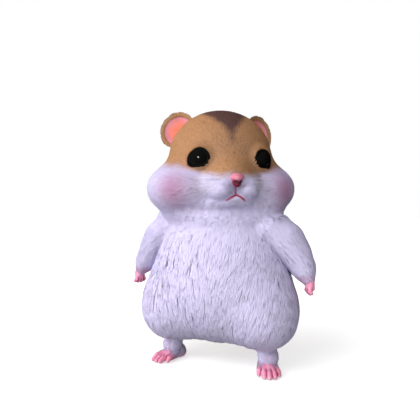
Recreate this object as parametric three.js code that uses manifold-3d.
// A Syrian hamster that stands upright on its hind feet, life size, as a still model in faceted solids.
// Millimetres, +Z up, the belly faces -Y, +X is the animal's left. The origin is on the floor, under the
// middle of the bounding box.
//
// Each form is a field, a function that is negative inside the form and about a distance in millimetres
// elsewhere. Its zero surface is the coat's outline. Head, neck, body and haunches are one blended field,
// made whole and parted by thin plane cuts. Limbs, ears, eyes, nose and jaw are cut to meet what they grow
// from with a thin gap.

import * as THREE from "three";
import { mergeVertices } from "three/addons/utils/BufferGeometryUtils.js";
import Module from "manifold-3d";

const wasm = await Module();
wasm.setup();

// ---------------------------------------------------------------- driving sizes

const GAP = 0.3; // between nodes that meet face to face
const CENTRE_Y = -3.15; // moves the whole animal so that the origin is under the middle of its box

const CROWN_Z = 111.2; // top of the skull's coat, ears left out
const SKULL = { x: 22.8, y: 22.3, z: 20.4 }; // half sizes
const SKULL_Y = 2;
const SKULL_Z = CROWN_Z - SKULL.z;
const HEAD_TURN = THREE.MathUtils.degToRad(34); // to the animal's left
const TURN_DEGREES = THREE.MathUtils.radToDeg(HEAD_TURN);
const HEAD_AXIS_Y = 3; // the vertical line that the head turns about

const CHEEK = { x: 17.3, y: 17.6, z: 13 }; // a full pouch
const CHEEK_AT = { x: 15.6, y: -1, z: 75.8 };
const NOSE_TIP_Y = -28.6;
const NOSE_Z = 78.6;

const EYE_RADIUS = 5.3;
const EYE_AT = { x: 13.7, y: -16, z: 88.5 }; // middle of the opening between the lids
const EYE_SINK = 2.6; // from the middle of the opening back to the ball's centre
const EYE_OUT = THREE.MathUtils.degToRad(39); // how far to the side the eye looks
const EYE_UP = THREE.MathUtils.degToRad(5);
const LID_HALF_WIDTH = 4.4;
const LID_HALF_HEIGHT = 3.8;
const LID_THICK = 0.6;

const EAR_AT = { x: 19.6, y: 4.5, z: 102.3 };
const EAR_HALF_WIDTH = 8.2;
const EAR_HALF_HEIGHT = 8.7;
const EAR_CUP = 3.4; // depth of the cup
const EAR_THICK = 1.1;

const NECK_TOP_Z = 66.2; // level cut between head and neck
const NECK_FOOT_Z = 60; // level cut between neck and torso

const HIP_X = 21;
const FOOT_LENGTH = 14.4; // heel to the webs of the toes
const FOOT_OUT = THREE.MathUtils.degToRad(20); // toes turned out
const TAIL_LENGTH = 10.5; // from its root under the coat

// ---------------------------------------------------------------- fields

const at = (x, y, z) => new THREE.Vector3(x, y, z);

/** Ellipsoid: how far the scaled point is past 1, over the slope there. */
function ellipsoid(centre, r, pitch = 0) {
  const c = Math.cos(pitch);
  const s = Math.sin(pitch);
  return (p) => {
    const x = p.x - centre.x;
    const dy = p.y - centre.y;
    const dz = p.z - centre.z;
    const y = dy * c + dz * s;
    const z = dz * c - dy * s;
    const scaled = Math.hypot(x / r.x, y / r.y, z / r.z);
    const slope = Math.hypot(x / r.x ** 2, y / r.y ** 2, z / r.z ** 2);
    return slope < 1e-9 ? -Math.min(r.x, r.y, r.z) : (scaled * (scaled - 1)) / slope;
  };
}

/** Round limb through stations [x, y, z, radius]: distance to each length, less its tapering radius. */
function limb(stations, k = 1) {
  const lengths = stations.slice(1).map((end, i) => [stations[i], end]);
  const one = ([a, b]) => {
    const from = at(...a);
    const along = at(...b).sub(from);
    return (p) => {
      const out = p.clone().sub(from);
      const t = THREE.MathUtils.clamp(out.dot(along) / along.lengthSq(), 0, 1);
      return out.addScaledVector(along, -t).length() - THREE.MathUtils.lerp(a[3], b[3], t);
    };
  };
  return blend(k, lengths.map(one));
}

/** Fields joined with a fillet about k wide. */
function blend(k, fields) {
  return (p) =>
    fields.map((f) => f(p)).reduce((a, b) => {
      const h = Math.max(k - Math.abs(a - b), 0) / k;
      return Math.min(a, b) - (h * h * k) / 4;
    });
}

const grown = (field, by) => (p) => field(p) - by;
const mirrored = (field) => (p) => field(at(-p.x, p.y, p.z));
const bothSides = (field) => [field, mirrored(field)];

// ---------------------------------------------------------------- surfaces

/** The distance from an inner point, along a unit direction, to where the field turns positive. */
function reach(field, from, direction) {
  let inside = 0;
  let outside = 0;
  let value = field(from);
  while (value < 0) {
    inside = outside;
    outside += Math.max(-0.8 * value, 0.05);
    value = field(from.clone().addScaledVector(direction, outside));
  }
  for (let i = 0; i < 24; i++) {
    const middle = (inside + outside) / 2;
    if (field(from.clone().addScaledVector(direction, middle)) < 0) inside = middle;
    else outside = middle;
  }
  return outside;
}

const surfacePoint = (field, from, direction) =>
  from.clone().addScaledVector(direction.clone().normalize(), reach(field, from, direction.clone().normalize()));

/** Grid planes from one value to another, drawn closer together between two others. */
function planes(from, to, cell, [closeFrom, closeTo, closeCell] = [to, to, cell]) {
  const run = (a, b, step) => {
    const n = Math.max(Math.round((b - a) / step), 1);
    return a < b ? Array.from({ length: n }, (_, i) => a + ((b - a) * i) / n) : [];
  };
  return [...run(from, closeFrom, cell), ...run(closeFrom, closeTo, closeCell), ...run(closeTo, to, cell), to];
}

/**
 * Closed surface of a field over a grid of planes. Each cell that the surface passes through has one
 * vertex, at the mean of the crossings on the cell's edges and then drawn onto the surface. Each grid edge
 * that crosses the surface joins the vertices of its four cells by two triangles.
 */
function surface(field, grid) {
  const [nx, ny, nz] = grid.map((list) => list.length);
  const corner = ([i, j, k]) => at(grid[0][i], grid[1][j], grid[2][k]);
  const number = ([i, j, k]) => (i * ny + j) * nz + k;
  const value = new Float64Array(nx * ny * nz);
  const everyCorner = (visit) => {
    for (let i = 0; i < nx; i++)
      for (let j = 0; j < ny; j++) for (let k = 0; k < nz; k++) visit([i, j, k]);
  };
  everyCorner((c) => (value[number(c)] = field(corner(c))));

  const cells = new Map();
  const vertexOf = (c, crossing) => {
    const key = number(c);
    if (!cells.has(key)) cells.set(key, { sum: at(0, 0, 0), count: 0, id: cells.size });
    const cell = cells.get(key);
    cell.sum.add(crossing);
    cell.count++;
    return cell.id;
  };
  const index = [];
  everyCorner((c) => {
    for (let axis = 0; axis < 3; axis++) {
      const next = c.map((n, i) => n + (i === axis));
      if (next[axis] >= grid[axis].length) continue;
      const [a, b] = [value[number(c)], value[number(next)]];
      if (a < 0 === b < 0) continue;
      const crossing = corner(c).lerp(corner(next), a / (a - b));
      const back = (...axes) => c.map((n, i) => n - axes.includes(i));
      const [u, v] = [(axis + 1) % 3, (axis + 2) % 3];
      const [p, q, r, s] = [c, back(u), back(u, v), back(v)].map((around) => vertexOf(around, crossing));
      index.push(...(a < 0 ? [p, q, r, p, r, s] : [p, r, q, p, s, r]));
    }
  });
  const points = [...cells.values()].map(({ sum, count }) => onto(field, sum.divideScalar(count)));
  return solidOf(points, index);
}

/** A point drawn onto a field's zero surface, by three steps along the slope. */
function onto(field, point) {
  const h = 0.02;
  const axes = [at(h, 0, 0), at(0, h, 0), at(0, 0, h)];
  for (let i = 0; i < 3; i++) {
    const rise = axes.map((d) => (field(point.clone().add(d)) - field(point.clone().sub(d))) / (2 * h));
    const slope = at(...rise);
    point.addScaledVector(slope, -field(point) / Math.max(slope.lengthSq(), 0.25));
  }
  return point;
}

/**
 * Closed surface round a spine. Rays leave the spine's start and end over a half sphere each, in rings
 * that are `caps` in number, and its length at right angles, in `sides` rings of `around` rays.
 */
function shell(field, spine, { around, caps, sides }) {
  const curve = spine.length > 2 ? new THREE.CatmullRomCurve3(spine) : new THREE.LineCurve3(...spine);
  const rings = [];
  const ring = (t, polar) => rings.push({ t, polar });
  for (let i = 1; i < caps; i++) ring(0, Math.PI * (1 - i / (2 * caps)));
  for (let i = 0; i <= sides; i++) ring(i / sides, Math.PI / 2);
  for (let i = caps - 1; i > 0; i--) ring(1, (Math.PI / 2) * (i / caps));
  const points = [];
  const cast = (t, direction) => points.push(surfacePoint(field, curve.getPoint(t), direction));
  cast(0, curve.getTangent(0).negate());
  for (const { t, polar } of rings) {
    const along = curve.getTangent(t);
    const across = at(0, 1, 0).cross(along).lengthSq() > 0.05 ? at(0, 1, 0) : at(0, 0, 1);
    const u = across.cross(along).normalize();
    const v = along.clone().cross(u);
    for (let j = 0; j < around; j++) {
      const angle = (2 * Math.PI * j) / around;
      const side = u.clone().multiplyScalar(Math.cos(angle)).addScaledVector(v, Math.sin(angle));
      cast(t, along.clone().multiplyScalar(Math.cos(polar)).addScaledVector(side, Math.sin(polar)));
    }
  }
  cast(1, curve.getTangent(1));
  const last = points.length - 1;
  const index = [];
  for (let j = 0; j < around; j++) {
    const next = (j + 1) % around;
    index.push(0, 1 + next, 1 + j);
    for (let i = 0; i < rings.length - 1; i++) {
      const a = 1 + i * around + j;
      const b = 1 + i * around + next;
      index.push(a, b, b + around, a, b + around, a + around);
    }
    index.push(last, last - around + j, last - around + next);
  }
  return solidOf(points, index);
}

/** manifold-3d solid of points and triangle corners. */
function solidOf(points, index) {
  const vertProperties = new Float32Array(points.flatMap((p) => [p.x, p.y, p.z]));
  return new wasm.Manifold(new wasm.Mesh({ numProp: 3, vertProperties, triVerts: new Uint32Array(index) }));
}

/** manifold-3d solid of a three.js geometry that is closed once its seams are merged. */
function solidFrom(geometry) {
  geometry.deleteAttribute("normal");
  geometry.deleteAttribute("uv");
  const merged = mergeVertices(geometry, 1e-4);
  const { array } = merged.attributes.position;
  return new wasm.Manifold(
    new wasm.Mesh({ numProp: 3, vertProperties: array, triVerts: new Uint32Array(merged.index.array) }),
  );
}

const allOf = (solids) => solids.reduce((a, b) => a.add(b));
const without = (solid, cutters) => cutters.reduce((a, b) => a.subtract(b), solid);
const largest = (solid) => solid.decompose().sort((a, b) => b.volume() - a.volume())[0];
const mirror = (solid) => solid.mirror([1, 0, 0]);

/** The part of a solid between two heights, less half the gap at each cut, or grown by `by` there. */
const slice = (solid, from, to, by) =>
  solid.trimByPlane([0, 0, 1], from + GAP / 2 - by).trimByPlane([0, 0, -1], GAP / 2 - by - to);

/** Keeps what lies ahead of a plane through `point`, less half the gap. */
const ahead = (solid, point, normal) => {
  const n = normal.clone().normalize();
  return solid.trimByPlane(n.toArray(), point.dot(n) + GAP / 2);
};

// ---------------------------------------------------------------- trunk

const TORSO_FIELD = blend(8, [
  ellipsoid(at(0, -0.2, 35), at(32, 22.3, 25)), // belly
  ellipsoid(at(0, 2, 54), at(27, 19.5, 16)), // chest
  ellipsoid(at(0, 8, 43), at(23, 14.5, 24)), // back
  ellipsoid(at(0, 8, 26), at(25, 15.5, 15.5)), // rump
  ...bothSides(ellipsoid(at(HIP_X, -1.8, 23.6), at(14.3, 16, 14.6))), // haunches
]);
const NECK_FIELD = blend(5, [
  ellipsoid(at(0, HEAD_AXIS_Y, 66), at(27.2, 20.5, 12)),
  ellipsoid(at(0, 9.5, 74), at(19, 12.5, 22)), // nape
]);

// The head's own frame stands on its turning axis and faces -Y.
const SKULL_AND_CHEEKS = blend(7, [
  ellipsoid(at(0, SKULL_Y, SKULL_Z), SKULL),
  ...bothSides(ellipsoid(at(CHEEK_AT.x, CHEEK_AT.y, CHEEK_AT.z), CHEEK)),
]);
const HEAD_FIELD = blend(4.5, [
  SKULL_AND_CHEEKS,
  ellipsoid(at(0, -12.5, 83), at(9.5, 14, 8), 0.3), // bridge of the nose
  ...bothSides(ellipsoid(at(4.8, -18, 77.2), at(6, 7.4, 4.9))), // whisker pads
]);
const toHead = (p) => p.clone().sub(at(0, HEAD_AXIS_Y, 0)).applyAxisAngle(at(0, 0, 1), -HEAD_TURN);

const TRUNK_FIELD = blend(5, [TORSO_FIELD, NECK_FIELD, (p) => HEAD_FIELD(toHead(p))]);

/** The whole of head, neck, body and haunches, with closer triangles at the muzzle. */
function trunk(by) {
  return surface(grown(TRUNK_FIELD, by), [
    planes(-37, 37, 4.1, [6, 23, 2.3]),
    planes(-31, 31, 4.1, [-26, -13, 2.3]),
    planes(3, 114, 4.1, [69, 82, 2.3]),
  ]);
}

// ---------------------------------------------------------------- head

const GAZE = at(
  Math.sin(EYE_OUT) * Math.cos(EYE_UP),
  -Math.cos(EYE_OUT) * Math.cos(EYE_UP),
  Math.sin(EYE_UP),
);
const EYE_CENTRE = at(EYE_AT.x, EYE_AT.y, EYE_AT.z).addScaledVector(GAZE, -EYE_SINK);

function eyeBall(by) {
  return solidFrom(new THREE.SphereGeometry(EYE_RADIUS + by, 16, 11).translate(...EYE_CENTRE.toArray()));
}

/** Rim of both lids: a closed loop on a ball a little larger than the eye, drawn to an outer corner. */
function lids(by) {
  const outer = at(0, 0, 1).cross(GAZE).normalize();
  const up = GAZE.clone().cross(outer);
  const ball = EYE_RADIUS + GAP + 0.9 * LID_THICK;
  const corner = -0.55; // where the outer corner is, in radians from the outer side
  const steps = 22;
  const loop = Array.from({ length: steps }, (_, i) => {
    const t = (2 * Math.PI * i) / steps - Math.PI;
    const pull = Math.exp(-(((t - corner) / 0.45) ** 2));
    const u = LID_HALF_WIDTH * Math.cos(t) + 0.7 * pull;
    const v = LID_HALF_HEIGHT * Math.sin(t) - 0.8 * pull;
    const w = Math.sqrt(ball ** 2 - u ** 2 - v ** 2);
    return EYE_CENTRE.clone().addScaledVector(outer, u).addScaledVector(up, v).addScaledVector(GAZE, w);
  });
  const curve = new THREE.CatmullRomCurve3(loop, true);
  return solidFrom(new THREE.TubeGeometry(curve, steps, LID_THICK + by, 5, true));
}

const MOUTH_Z = 73.8; // top of the mouth's arch, under the nose
const MOUTH_HALF_WIDTH = 4.8;
const MOUTH_DROP = 2.4; // from the arch down to the corners
const LIP = 0.5; // radius of the lips' rims

/** The mouth's arch on the surface of a field, at a height above or below the line itself. */
const mouthLine = (field, rise) =>
  [-1, -0.6, -0.25, 0, 0.25, 0.6, 1].map((s) => {
    const z = MOUTH_Z - MOUTH_DROP * Math.abs(s) ** 1.3 + rise;
    return surfacePoint(field, at(MOUTH_HALF_WIDTH * s, -10, z), at(0, -1, 0));
  });

/** Rim of a lip along the mouth's arch. */
function lip(field, rise, by) {
  const line = mouthLine(field, rise);
  const stations = line.map((p) => [p.x, p.y + LIP / 2, p.z, LIP + by]);
  return shell(limb(stations, 0.3), line, { around: 6, caps: 2, sides: 10 });
}

/** A solid of the body's frame, in the head's frame. */
const turnedBack = (solid) => solid.translate([0, -HEAD_AXIS_Y, 0]).rotate([0, 0, -TURN_DEGREES]);

/** The head from a trunk, with lids and upper lip joined on. */
function headOf(wholeTrunk, by) {
  const skull = turnedBack(slice(wholeTrunk, NECK_TOP_Z, CROWN_Z + 10, by));
  const lid = lids(by);
  return allOf([skull, lid, mirror(lid), lip(HEAD_FIELD, LIP, by)]);
}

/** Groove that splits the upper lip, from under the nose to the mouth. */
function philtrum() {
  const heights = [NOSE_Z - 2, (NOSE_Z - 2 + MOUTH_Z) / 2, MOUTH_Z];
  const line = heights.map((z) => surfacePoint(HEAD_FIELD, at(0, -12, z), at(0, -1, 0)));
  const stations = line.map((p) => [p.x, p.y - 0.1, p.z, 0.45]);
  return shell(limb(stations, 0.3), line, { around: 6, caps: 2, sides: 5 });
}

function nose() {
  const pad = blend(1.6, [
    ellipsoid(at(0, NOSE_TIP_Y + 2.4, NOSE_Z + 0.9), at(2.7, 2.3, 1.7)),
    ellipsoid(at(0, NOSE_TIP_Y + 2.7, NOSE_Z - 1.1), at(1.6, 2.1, 1.8)),
  ]);
  const made = shell(pad, [at(0, NOSE_TIP_Y + 3, NOSE_Z), at(0, NOSE_TIP_Y + 2.2, NOSE_Z)], {
    around: 16,
    caps: 5,
    sides: 1,
  });
  const pit = limb([
    [0.85, NOSE_TIP_Y + 0.1, NOSE_Z - 1.1, 0.42],
    [1.75, NOSE_TIP_Y + 0.9, NOSE_Z - 0.35, 0.3],
  ]);
  const spine = [at(0.85, NOSE_TIP_Y + 0.1, NOSE_Z - 1.1), at(1.75, NOSE_TIP_Y + 0.9, NOSE_Z - 0.35)];
  const nostril = shell(pit, spine, { around: 7, caps: 2, sides: 2 });
  return without(made, [nostril, mirror(nostril)]);
}

function jaw(by) {
  const field = ellipsoid(at(0, -13.9, 69.9), at(8.4, 8.8, 4.6), -0.1);
  const size = { around: 18, caps: 5, sides: 2 };
  const chin = shell(grown(field, by), [at(0, -11, 70.2), at(0, -16, 70.4)], size);
  return chin.add(lip(field, -1.2, by));
}

/**
 * Ear: a round leaf with a cup's depth, thin at the rim. Both faces are one grid of rings, so its
 * triangles match from face to face. It is made flat and then leaned out and turned.
 */
function ear() {
  const around = 20;
  const rings = 5;
  const faces = [-1, 1].map((side) => {
    const points = [];
    for (let i = 0; i < rings; i++) {
      const r = i / rings;
      for (let j = 0; j < (i ? around : 1); j++) {
        const a = (2 * Math.PI * j) / around;
        const narrow = 1 - 0.16 * Math.max(0, -Math.sin(a)) * r;
        const x = EAR_HALF_WIDTH * narrow * r * Math.cos(a);
        const z = EAR_HALF_HEIGHT * r * Math.sin(a);
        const cup = EAR_CUP * (1 - r ** 2.4);
        const thick = (EAR_THICK / 2) * (1 - 0.35 * r);
        points.push(at(x, cup + side * thick, z));
      }
    }
    return points;
  });
  const rim = Array.from({ length: around }, (_, j) => {
    const a = (2 * Math.PI * j) / around;
    const narrow = 1 - 0.16 * Math.max(0, -Math.sin(a));
    return at(EAR_HALF_WIDTH * narrow * Math.cos(a), 0, EAR_HALF_HEIGHT * Math.sin(a));
  });
  const perFace = faces[0].length;
  const points = [...faces[0], ...faces[1], ...rim];
  const index = [];
  const place = (face, i, j) => {
    if (i === rings) return 2 * perFace + (j % around);
    return face * perFace + (i ? 1 + (i - 1) * around + (j % around) : 0);
  };
  const triangle = (face, a, b, c) => index.push(...(face ? [a, c, b] : [a, b, c]));
  for (const face of [0, 1])
    for (let j = 0; j < around; j++)
      for (let i = 0; i < rings; i++) {
        const [a, b, c, d] = [place(face, i, j), place(face, i + 1, j), place(face, i + 1, j + 1), place(face, i, j + 1)];
        triangle(face, a, b, c);
        if (i) triangle(face, a, c, d);
      }
  const leaf = solidOf(points, index);
  // leaned out to the side, then turned so that the cup opens forwards and out
  return leaf.rotate([-8, 34, 26]).translate([EAR_AT.x, EAR_AT.y, EAR_AT.z]);
}

// ---------------------------------------------------------------- forelegs (the left one; the right is its mirror)

const ARM = [
  [22.5, 0.5, 58.5, 10],
  [29.2, 1.1, 54, 7.4],
  [33.4, 1.3, 48.6, 5.7],
  [36.7, 0.2, 43, 4],
  [39, -1.1, 38.6, 2.3],
];
const ELBOW = at(33.4, 1.3, 48.6);
const WRIST = at(38.8, -1, 39);
const HAND = at(39.4, -1.3, 37);

function armShell(by) {
  const line = ARM.map(([x, y, z]) => at(x, y, z));
  return shell(grown(limb(ARM, 4), by), line, { around: 16, caps: 3, sides: 10 });
}

/** Digits as tapering limbs that fan out from a root, with a claw on each. */
function digits(root, specs) {
  return specs.flatMap(({ out, length, radius, from, drop, claw }) => {
    const base = root.clone().add(from);
    const heading = at(Math.sin(out), -Math.cos(out), 0);
    const knuckle = base.clone().addScaledVector(heading, length * 0.55).add(at(0, 0, drop * 0.15));
    const tip = base.clone().addScaledVector(heading, length).add(at(0, 0, drop));
    const stations = [
      [...base.toArray(), radius * 0.95],
      [...knuckle.toArray(), radius],
      [...tip.toArray(), radius * 0.82],
    ];
    const toe = shell(limb(stations, 0.5), [base, knuckle, tip], { around: 6, caps: 2, sides: 2 });
    const nailEnd = tip.clone().addScaledVector(heading, claw).add(at(0, 0, -claw * 0.35));
    const nailStations = [
      [...tip.clone().add(at(0, 0, radius * 0.35)).toArray(), 0.38],
      [...nailEnd.toArray(), 0.2],
    ];
    const nail = shell(limb(nailStations), [at(...nailStations[0]), nailEnd], { around: 4, caps: 1, sides: 1 });
    return [toe, nail];
  });
}

function forepaw() {
  // made pointing forwards, then turned to hang with the palm towards the body
  const palm = ellipsoid(at(0, 0, 0), at(2.5, 3, 2));
  const body = shell(palm, [at(0, 0.8, 0), at(0, -0.8, 0)], { around: 12, caps: 3, sides: 1 });
  const fan = [-0.34, -0.1, 0.12, 0.36].map((out, i) => ({
    out,
    length: [2.3, 2.8, 2.8, 2.4][i],
    radius: 0.78,
    from: at((i - 1.5) * 1.2, -1.7, 0.2),
    drop: -1.1,
    claw: 0.7,
  }));
  const thumb = { out: -0.95, length: 1.3, radius: 0.6, from: at(-1.6, -0.6, -0.4), drop: -0.3, claw: 0.4 };
  return allOf([body, ...digits(at(0, 0, 0), [...fan, thumb])])
    .rotate([78, 0, -62])
    .translate(HAND.toArray());
}

// ---------------------------------------------------------------- hind legs (left)

const ANKLE = at(22.4, -1, 5);
const GROIN = at(9, 0, 8); // the cut between torso and thigh rises outwards from here
const THIGH_SIDE = at(0.72, -0.08, -0.69);

/** Foot made pointing forwards with its sole at z = 0, then turned out and moved under the ankle. */
function foot() {
  const heelY = FOOT_LENGTH * 0.34;
  const ballY = -FOOT_LENGTH * 0.22;
  const field = blend(3, [
    ellipsoid(at(0, heelY - 0.2, 1.9), at(3, 3.4, 3.3)),
    ellipsoid(at(0, 0.6, 2.6), at(3.4, 5.2, 2.8)),
    ellipsoid(at(0, ballY, 1.9), at(4.1, 3.6, 2.5)),
  ]);
  const body = shell(field, [at(0, heelY - 2, 2.1), at(0, ballY, 1.9)], { around: 16, caps: 3, sides: 5 });
  const lengths = [2.7, 4, 4.5, 4.2, 3];
  const fan = lengths.map((length, i) => ({
    out: (i - 2) * 0.16,
    length,
    radius: i % 4 ? 1.22 : 1.05,
    from: at((i - 2) * 1.85, ballY - (i % 4 ? 1.6 : 0.2), 1.5),
    drop: -0.45,
    claw: 1.3,
  }));
  return allOf([body, ...digits(at(0, 0, 0), fan)])
    .trimByPlane([0, 0, 1], 0)
    .rotate([0, 0, THREE.MathUtils.radToDeg(FOOT_OUT)])
    .translate([HIP_X + 1.3, -2.2, 0]);
}

function shank() {
  const stations = [
    [HIP_X, ANKLE.y + 0.6, 12, 5.2],
    [ANKLE.x, ANKLE.y, ANKLE.z, 4],
    [ANKLE.x, ANKLE.y, 3, 3.5],
  ];
  return shell(limb(stations, 2), stations.map(([x, y, z]) => at(x, y, z)), { around: 14, caps: 3, sides: 3 });
}

function tail() {
  const droop = (t) => at(0, 18.5 + TAIL_LENGTH * t, 16.5 - TAIL_LENGTH * t * (0.25 + 0.55 * t));
  const stations = [0, 0.5, 1].map((t) => [...droop(t).toArray(), 3 - 1.6 * t]);
  return shell(limb(stations, 1), stations.map(([x, y, z]) => at(x, y, z)), { around: 10, caps: 3, sides: 5 });
}

// ---------------------------------------------------------------- parting and assembly

const wholeTrunk = trunk(0);
const grownTrunk = trunk(GAP);
const neck = slice(wholeTrunk, NECK_FOOT_Z, NECK_TOP_Z, 0);
const body = slice(wholeTrunk, 0, NECK_FOOT_Z, 0);

const ball = eyeBall(GAP);
const grownHead = headOf(grownTrunk, GAP);
const head = largest(without(headOf(wholeTrunk, 0), [ball, mirror(ball), philtrum(), jaw(GAP)]));
const noseSolid = largest(nose().subtract(grownHead));
const jawSolid = largest(jaw(0).trimByPlane([0, 0, 1], NECK_TOP_Z + GAP / 2));
const earSolid = largest(ear().subtract(grownHead));

const armAxis = WRIST.clone().sub(ELBOW);
const arm = without(armShell(0), [grownTrunk, mirror(grownTrunk)]);
const upperArm = largest(ahead(arm, ELBOW, armAxis.clone().negate()));
const forearm = largest(ahead(ahead(arm, ELBOW, armAxis), WRIST, armAxis.clone().negate()));
const forepawSolid = largest(ahead(forepaw(), WRIST, armAxis));

const awayFromThighs = THIGH_SIDE.clone().negate();
const rightOfGroin = (solid) => mirror(ahead(mirror(solid), GROIN, awayFromThighs));
const torso = rightOfGroin(ahead(body, GROIN, awayFromThighs));
const thigh = [body, mirror(body)].map((side) => ahead(side, GROIN, THIGH_SIDE));
const footSolid = largest(foot());
const shankSolid = largest(
  without(shank().trimByPlane([0, 0, 1], 1.5), [
    grownTrunk,
    mirror(grownTrunk),
    foot().scale([1.06, 1.04, 1]).translate([-1.3, -0.1, GAP]),
  ]),
);
const tailSolid = largest(tail().subtract(grownTrunk));

const material = (name, color, roughness) => new THREE.MeshStandardMaterial({ name, color, roughness, metalness: 0 });
const GOLDEN_COAT = material("golden coat", 0xc4936a, 0.9);
const WHITE_COAT = material("white coat", 0xe6e2ea, 0.9);
const PINK_SKIN = material("pink skin", 0xe89ab0, 0.55);
const EAR_SKIN = material("ear skin", 0xe8877a, 0.6);
const DARK_EYE = material("dark eye", 0x0b0a0a, 0.08);

/** Named mesh of a manifold-3d solid. */
function node(name, solid, finish) {
  const { numProp, vertProperties, triVerts } = solid.getMesh();
  const geometry = new THREE.BufferGeometry();
  const positions = new Float32Array((vertProperties.length / numProp) * 3);
  for (let i = 0; i < positions.length / 3; i++)
    positions.set(vertProperties.subarray(i * numProp, i * numProp + 3), i * 3);
  geometry.setAttribute("position", new THREE.BufferAttribute(positions, 3));
  geometry.setIndex(new THREE.BufferAttribute(triVerts, 1));
  geometry.computeVertexNormals();
  const mesh = new THREE.Mesh(geometry, finish);
  mesh.name = name;
  return mesh;
}

/** The same solid on the left and, mirrored, on the right. */
const pair = (name, solid, finish) => [
  node(`${name}_left`, solid, finish),
  node(`${name}_right`, mirror(solid), finish),
];

const headGroup = new THREE.Group();
headGroup.position.y = HEAD_AXIS_Y;
headGroup.rotation.z = HEAD_TURN;
headGroup.add(
  node("head", head, GOLDEN_COAT),
  node("nose", noseSolid, PINK_SKIN),
  node("lower_jaw", jawSolid, WHITE_COAT),
  ...pair("ear", earSolid, EAR_SKIN),
  ...pair("eye", eyeBall(0), DARK_EYE),
);

const hamster = new THREE.Group();
hamster.position.y = CENTRE_Y;
hamster.add(
  headGroup,
  node("neck", neck, WHITE_COAT),
  node("torso", torso, WHITE_COAT),
  node("tail", tailSolid, PINK_SKIN),
  ...pair("upper_arm", upperArm, WHITE_COAT),
  ...pair("forearm", forearm, WHITE_COAT),
  ...pair("forepaw", forepawSolid, PINK_SKIN),
  node("thigh_left", thigh[0], WHITE_COAT),
  node("thigh_right", mirror(thigh[1]), WHITE_COAT),
  ...pair("shank", shankSolid, WHITE_COAT),
  ...pair("hind_foot", footSolid, PINK_SKIN),
);

export default hamster;
